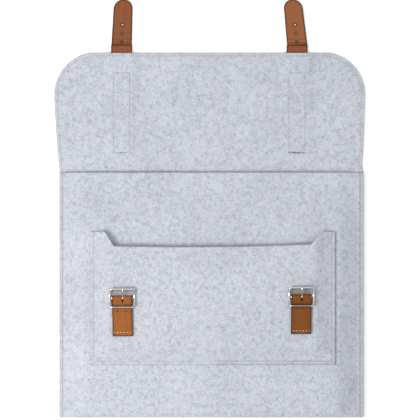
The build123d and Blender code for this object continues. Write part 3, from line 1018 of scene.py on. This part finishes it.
def make_tongue(side):
    """A prong that is curled round the centre bar and rests over the frame's upper rail."""
    metal = settings().hardware
    low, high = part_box(f"buckle_tongue_{side}")
    bar = joint_place(f"tongue_lift_{side}")
    middle = (low.x + high.x) / 2
    curl = metal.bar + 0.07 * MM + 0.5 * MM
    turn = np.radians(np.linspace(0, 360, 28, endpoint=False))
    ring = np.stack([np.full(28, middle), bar.y + curl * np.cos(turn), bar.z + curl * np.sin(turn)], -1)
    tip_y, top = high.y - 0.2 * MM, high.z - 0.85 * MM
    steps = np.linspace(0, 1, 15)
    start_y, start_z = bar.y + 0.4 * MM, bar.z + curl + 0.15 * MM
    y = start_y + (tip_y - start_y) * steps
    z = start_z + (top - start_z) * ease(steps * 1.25) - 0.35 * MM * ease((steps - 0.85) / 0.15)
    prong = np.stack([np.full_like(y, middle), y, z], -1)
    taper = np.interp(steps, (0, 0.08, 0.85, 0.96, 1), (0.8, 0.95, 0.9, 0.75, 0.35)) * MM
    thin = np.interp(steps, (0, 0.1, 0.9, 1), (0.5, 0.8, 0.75, 0.3)) * MM
    loop = ring_shell(ring, bar, 0.9 * MM, 0.5 * MM)
    name = f"tongue_metal_{side}"
    prong_shell = swept(prong, taper, thin, sides=12, square=0.85)
    piece = new_piece(name, *joined([loop, prong_shell]), finish(*NICKEL))
    outwards(piece)
    mark(piece)
    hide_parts(f"buckle_tongue_{side}")
    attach(piece, f"tongue_{side}")


def ring_shell(ring, centre, half_wide, half_thick, sides=12):
    """A flat band curled into a ring about the X axis."""
    out = unit(ring - np.array([ring[0, 0], centre.y, centre.z]))
    shape = round_shape(sides, 0.6)
    wide = np.array([1.0, 0.0, 0.0]) * half_wide
    rings = ring[:, None] + wide * shape[:, :1] + out[:, None] * (half_thick * shape[:, 1])[None, :, None]
    return rings.reshape(-1, 3), tube_faces(len(ring), sides, closed=True)


# --- Stitches -----------------------------------------------------------------


def stitch_tree():
    """Geometry Nodes that lay stitches end to end along a path."""
    tree = bpy.data.node_groups.get("Stitch Run")
    if tree:
        return tree
    tree = bpy.data.node_groups.new("Stitch Run", "GeometryNodeTree")
    face = tree.interface
    face.new_socket("Geometry", in_out="OUTPUT", socket_type="NodeSocketGeometry")
    face.new_socket("Path", in_out="INPUT", socket_type="NodeSocketGeometry")
    for name in ("Pitch", "Stitch Length", "Thread Radius", "Unevenness"):
        face.new_socket(name, in_out="INPUT", socket_type="NodeSocketFloat")
    face.new_socket("Seed", in_out="INPUT", socket_type="NodeSocketInt")
    face.new_socket("Thread", in_out="INPUT", socket_type="NodeSocketMaterial")

    def add(kind, options=None, sockets=None):
        return add_node(tree, kind, options, sockets)

    def maths(operation, *values):
        return add("ShaderNodeMath", {"operation": operation}, dict(enumerate(values))).outputs[0]

    given = add("NodeGroupInput").outputs
    path = add("GeometryNodeMeshToCurve", None, {"Mesh": given["Path"]})
    evened = add(
        "GeometryNodeResampleCurve", {"mode": "LENGTH"}, {"Curve": path.outputs[0], "Length": given["Pitch"]}
    )
    stitch = add("GeometryNodeMeshUVSphere", None, {"Segments": 6, "Rings": 5, "Radius": 1.0})
    run = add("GeometryNodeInputTangent")
    aligned = add("FunctionNodeAlignRotationToVector", {"axis": "X"}, {"Vector": run.outputs[0]})
    swing = add("FunctionNodeRandomValue", {"data_type": "FLOAT"}, {2: -1.0, 3: 1.0, "Seed": given["Seed"]})
    angle = maths("MULTIPLY", swing.outputs[1], given["Unevenness"])
    girth = add("FunctionNodeRandomValue", {"data_type": "FLOAT"}, {2: -1.6, 3: 1.6, "Seed": given["Seed"]})
    swell = maths("MULTIPLY_ADD", girth.outputs[1], given["Unevenness"], 1.0)
    radius = maths("MULTIPLY", swell, given["Thread Radius"])
    euler = add("ShaderNodeCombineXYZ", None, {"Z": angle})
    spin = add("FunctionNodeEulerToRotation", None, {0: euler.outputs[0]})
    turned = add(
        "FunctionNodeRotateRotation", {"rotation_space": "LOCAL"}, {0: aligned.outputs[0], 1: spin.outputs[0]}
    )
    half = maths("MULTIPLY", given["Stitch Length"], 0.5)
    size = add("ShaderNodeCombineXYZ", None, {"X": half, "Y": radius, "Z": radius})
    laid = add(
        "GeometryNodeInstanceOnPoints",
        None,
        {
            "Points": evened.outputs[0], "Instance": stitch.outputs[0],
            "Rotation": turned.outputs[0], "Scale": size.outputs[0],
        },
    )
    real = add("GeometryNodeRealizeInstances", None, {0: laid.outputs[0]})
    smooth = add("GeometryNodeSetShadeSmooth", None, {0: real.outputs[0]})
    sockets = {"Geometry": smooth.outputs[0], "Material": given["Thread"]}
    painted = add("GeometryNodeSetMaterial", None, sockets)
    add("NodeGroupOutput", None, {0: painted.outputs[0]})
    return tree


def stitch_run(name, paths, thread, seed, pitch=None, uneven=0.06, radius=None):
    """Sews one piece of stitches along each path of points."""
    s = settings().stitches
    points, edges = [], []
    for path in paths:
        first = len(points)
        points += [tuple(p) for p in path]
        edges += [(first + i, first + i + 1) for i in range(len(path) - 1)]
    mesh = bpy.data.meshes.new(name)
    mesh.from_pydata(points, edges, [])
    piece = add_object(name, mesh)
    sewing = piece.modifiers.new("stitches", "NODES")
    sewing.node_group = stitch_tree()
    pitch = pitch or s.pitch
    values = {
        "Pitch": pitch, "Stitch Length": pitch * s.length / s.pitch, "Thread Radius": radius or s.radius,
        "Unevenness": uneven, "Seed": seed, "Thread": thread,
    }
    for item in sewing.node_group.interface.items_tree:
        if item.name in values:
            sewing[item.identifier] = values[item.name]
    settle(piece)
    mark(piece)
    return piece


def sampled(corners, cell=2 * MM):
    """Points every cell along a line of straight runs."""
    found = []
    for (ax, ay), (bx, by) in zip(corners[:-1], corners[1:]):
        count = max(1, math.ceil(math.hypot(bx - ax, by - ay) / cell))
        found += [(ax + (bx - ax) * k / count, ay + (by - ay) * k / count) for k in range(count)]
    return np.array(found + [corners[-1]])


def on_height(flat, height):
    """Lifts flat points to the height that a function or a number gives."""
    z = height(flat[:, 0], flat[:, 1]) if callable(height) else np.full(len(flat), height)
    return np.column_stack([flat, z])


def on_flap(x, y):
    """Height of stitches on the upper side of the open flap."""
    return settings().felt.thickness + flap_lift(x, y) + STITCH_LIFT


def sew_side_seam(side, k, thread):
    s = settings().stitches
    seam_x = k * (FRONT_HIGH.x - s.inset)
    border_top = FRONT_LOW.z + 2 * settings().felt.thickness
    line = sampled([(seam_x, BOTTOM + 3 * MM), (seam_x, MOUTH - 2 * MM)])
    paths = [on_height(line, border_top + STITCH_LIFT), on_height(line, 0.15 * MM)]
    piece = stitch_run(f"side_seam_stitches_{side}", paths, thread, 11 + k)
    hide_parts(f"side_seam_thread_{side}")
    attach(piece, "sleeve")


def sew_strap(side, k, thread):
    """The stitched box round a strap's sewn part."""
    middle_x, middle_y, half_x, half_y = strap_box(side)
    near, far = middle_y - half_y, middle_y + half_y
    left, right = middle_x - half_x, middle_x + half_x
    box = sampled([(left, near), (left, far), (right, far), (right, near)])
    end = sampled([(left, near), (right, near)])
    paths = [on_height(box, on_flap), on_height(end, on_flap), on_height(box, 0.12 * MM)]
    name = f"strap_stitches_{side}"
    piece = stitch_run(name, paths, thread, 21 + k, pitch=3.5 * MM, radius=0.26 * MM)
    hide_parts(f"strap_thread_{side}")
    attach(piece, "flap")


def sew_tacks(side, k, thread):
    """Tight tacks at a strap's root: a short thin one on the left, two thick ones on the right."""
    middle_x, middle_y, _, half_y = strap_box(side)
    near = middle_y - half_y
    paths = []
    for a, b, c in TACKS[side]:
        ends = [(middle_x + a * MM, near + (c + 0.3) * MM), (middle_x + b * MM, near + (c - 0.3) * MM)]
        paths.append(on_height(sampled(ends, MM), on_flap))
    name = f"strap_tack_{side}"
    piece = stitch_run(name, paths, thread, 61 + k, pitch=1.5 * MM, uneven=0.25, radius=TACK_RADIUS[side])
    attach(piece, "flap")


def sew_tab(side, k, tab_thread, dark_thread):
    """A pale row of stitches at a tab's foot and a dark one under its buckle, whose near-black thread is
    partly painted shadow of the lower rail.
    """
    low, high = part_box(f"tab_thread_{side}")
    for name, y, thread, slot in (
        ("tab_stitches", low.y + TAB_ROW[side], tab_thread, "tab_thread"),
        # The dark row: dark thread, drawn near-black as painted shadow of the lower rail as well.
        ("tab_upper_stitches", high.y + UPPER_ROW[side], dark_thread, "felt_thread"),
    ):
        row = sampled([(low.x, y), (high.x + 0.6 * MM, y)], 1 * MM)
        piece = stitch_run(
            f"{name}_{side}", [on_height(row, low.z + 0.12 * MM)], thread, 31 + k,
            pitch=3.4 * MM, uneven=0.32, radius=0.42 * MM,
        )
        if slot == "tab_thread":
            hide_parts(f"tab_thread_{side}")
        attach(piece, "sleeve")


def sew_pocket(thread):
    s = settings().stitches
    left, right = POCKET_LOW.x + s.inset, POCKET_HIGH.x - s.inset
    low, top = POCKET_LOW.y + s.inset, POCKET_HIGH.y - 2 * MM
    line = sampled([(left, top), (left, low), (right, low), (right, top)])
    height = POCKET_LOW.z + settings().felt.thickness + STITCH_LIFT
    piece = stitch_run("pocket_stitches", [on_height(line, height)], thread, 41)
    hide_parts("pocket_thread")
    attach(piece, "sleeve")


def sew_flap_edge(thread):
    """The seam along the flap's sides, round its corners and along its edge."""
    s = settings().stitches
    corner = settings().felt.flap_corner
    y = places((MOUTH + 4 * MM, FLAP_EDGE - corner, 3 * MM))
    side_x = flap_half(y) - s.inset
    turn = np.radians(np.linspace(0, 90, 30))[1:]
    reach = corner - s.inset
    corner_x = FLAP_HALF - corner + reach * np.cos(turn)
    corner_y = FLAP_EDGE - corner + reach * np.sin(turn)
    half_line = np.column_stack([np.concatenate([side_x, corner_x]), np.concatenate([y, corner_y])])
    edge_run = np.column_stack([places((FLAP_HALF - corner, corner - FLAP_HALF, 3 * MM))[1:-1]] * 2)
    edge_run[:, 1] = FLAP_EDGE - s.inset
    line = np.concatenate([half_line, edge_run, half_line[::-1] * (-1, 1)])
    line[:, 0] += flap_middle(line[:, 1])
    paths = [on_height(line, on_flap), on_height(line, lambda x, y: flap_lift(x, y) - 0.02 * MM)]
    piece = stitch_run("flap_edge_stitches", paths, thread, 51)
    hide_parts("flap_edge_thread")
    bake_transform(piece)


def make_stitches():
    s = settings().stitches
    felt_thread = finish("grey_thread", thread_finish, s.felt_thread)
    tab_thread = finish("waxed_thread", thread_finish, s.tab_thread)
    dark_thread = finish("dark_thread", thread_finish, s.dark_thread)
    for k, side in zip((-1, 1), SIDES):
        sew_side_seam(side, k, felt_thread)
        sew_strap(side, k, felt_thread)
        sew_tacks(side, k, dark_thread)
        sew_tab(side, k, tab_thread, dark_thread)
    sew_pocket(felt_thread)
    sew_flap_edge(felt_thread)


# --- Stage --------------------------------------------------------------------


def lamp(name, place, target, size, power, shade):
    data = bpy.data.lights.new(name, "AREA")
    data.shape = "DISK"
    data.size = size
    data.energy = power
    data.color = shade
    light = add_object(name, data)
    light.location = place
    light.rotation_euler = (Vector(target) - Vector(place)).to_track_quat("-Z", "Y").to_euler()


def make_stage():
    stage = settings().stage
    reach = 4.0
    f = Finish("pale_floor", Roughness=0.9, Specular_IOR_Level=0.1)
    cloud = f.noise(f.node("ShaderNodeTexCoord", output=3), 3.0, 2.0)
    f.link("Base Color", f.mix(cloud * 0.05, tuple(stage.floor), tuple(0.95 * c for c in stage.floor)))
    f.shader.inputs["Emission Color"].default_value = (1.0, 1.0, 1.0, 1.0)
    f.shader.inputs["Emission Strength"].default_value = 0.30
    level = -0.4 * MM
    corners = [(-reach, -reach, level), (reach, -reach, level), (reach, reach, level), (-reach, reach, level)]
    new_piece("floor", corners, [(0, 1, 2, 3)], f.material)

    camera = bpy.data.cameras.new("overhead_camera")
    camera.sensor_width = 36.0
    camera.lens = 36.0 * stage.camera_height / stage.view_width
    camera.clip_end = 20.0
    eye = add_object("overhead_camera", camera)
    eye.location = (stage.view_x, stage.view_y, stage.camera_height)
    bpy.context.scene.camera = eye

    middle = (0.0, 0.1, 0.0)
    lamp("key", (-0.95, -0.4, 1.38), middle, 0.5, stage.key_power, (1.0, 0.985, 0.965))
    lamp("overhead", (-0.35, 0.2, 1.7), middle, 1.4, stage.fill_power, (0.97, 0.985, 1.0))
    world = bpy.data.worlds.new("studio")
    world.use_nodes = True
    tree = world.node_tree
    way = add_node(tree, "ShaderNodeTexCoord").outputs["Generated"]
    height = Wire(add_node(tree, "ShaderNodeSeparateXYZ", None, {0: way}).outputs["Z"])
    glow = height.ease(0.15, 0.75)
    sockets = {0: glow, 6: (0.16, 0.17, 0.19, 1), 7: (0.96, 0.975, 1, 1)}
    sky = height.node("ShaderNodeMix", {"data_type": "RGBA"}, sockets, 2)
    tree.links.new(sky.socket, tree.nodes["Background"].inputs["Color"])
    tree.nodes["Background"].inputs["Strength"].default_value = stage.sky
    bpy.context.scene.world = world
    bpy.context.scene.view_settings.view_transform = "Standard"


# --- Operators and panel ------------------------------------------------------


class SLEEVE_OT_stage(bpy.types.Operator):
    """Make the floor, the lamps and the overhead camera"""

    bl_idname = "sleeve.stage"
    bl_label = "Stage"

    def execute(self, context):
        make_stage()
        return {"FINISHED"}


class SLEEVE_OT_felt_body(bpy.types.Operator):
    """Make the front, back and flap from one sheet of felt"""

    bl_idname = "sleeve.felt_body"
    bl_label = "Felt Body"

    def execute(self, context):
        make_felt_body()
        return {"FINISHED"}


class SLEEVE_OT_felt_pocket(bpy.types.Operator):
    """Make the front pocket"""

    bl_idname = "sleeve.felt_pocket"
    bl_label = "Felt Pocket"

    def execute(self, context):
        make_felt_pocket()
        return {"FINISHED"}


class SLEEVE_OT_straps(bpy.types.Operator):
    """Make both straps and the leather layers behind them"""

    bl_idname = "sleeve.straps"
    bl_label = "Straps"

    def execute(self, context):
        for side in SIDES:
            make_strap(side)
            make_backing(side)
        return {"FINISHED"}


class SLEEVE_OT_tabs(bpy.types.Operator):
    """Make the folded tabs that hold the buckles"""

    bl_idname = "sleeve.tabs"
    bl_label = "Tabs"

    def execute(self, context):
        for side in SIDES:
            make_tab(side)
        return {"FINISHED"}


class SLEEVE_OT_buckles(bpy.types.Operator):
    """Make both buckle frames and their tongues"""

    bl_idname = "sleeve.buckles"
    bl_label = "Buckles"

    def execute(self, context):
        for side in SIDES:
            make_buckle_frame(side)
            make_tongue(side)
        return {"FINISHED"}


class SLEEVE_OT_stitches(bpy.types.Operator):
    """Sew every seam"""

    bl_idname = "sleeve.stitches"
    bl_label = "Stitches"

    def execute(self, context):
        make_stitches()
        return {"FINISHED"}


class SLEEVE_PT_panel(bpy.types.Panel):
    """Shows a button for each step and the sleeve's settings"""

    bl_idname = "SLEEVE_PT_panel"
    bl_label = "Felt Sleeve"
    bl_space_type = "VIEW_3D"
    bl_region_type = "UI"
    bl_category = "Sleeve"

    def draw(self, context):
        for operator in OPERATORS:
            self.layout.operator(operator.bl_idname)
        for group in ("felt", "leather", "hardware", "stitches", "stage"):
            box = self.layout.box()
            values = getattr(context.scene.felt_sleeve, group)
            for name in values.__annotations__:
                box.prop(values, name)


OPERATORS = (
    SLEEVE_OT_stage,
    SLEEVE_OT_felt_body,
    SLEEVE_OT_felt_pocket,
    SLEEVE_OT_straps,
    SLEEVE_OT_tabs,
    SLEEVE_OT_buckles,
    SLEEVE_OT_stitches,
)
GROUPS = (SleeveFelt, SleeveLeather, SleeveHardware, SleeveStitches, SleeveStage, FeltSleeve)
CLASSES = (*GROUPS, *OPERATORS, SLEEVE_PT_panel)


def register():
    for cls in CLASSES:
        bpy.utils.register_class(cls)
    bpy.types.Scene.felt_sleeve = bpy.props.PointerProperty(type=FeltSleeve)


def unregister():
    del bpy.types.Scene.felt_sleeve
    for cls in reversed(CLASSES):
        bpy.utils.unregister_class(cls)


def main():
    register()
    bpy.ops.sleeve.stage()
    bpy.ops.sleeve.felt_body()
    bpy.ops.sleeve.felt_pocket()
    bpy.ops.sleeve.straps()
    bpy.ops.sleeve.tabs()
    bpy.ops.sleeve.buckles()
    bpy.ops.sleeve.stitches()


if __name__ == "__main__":
    main()
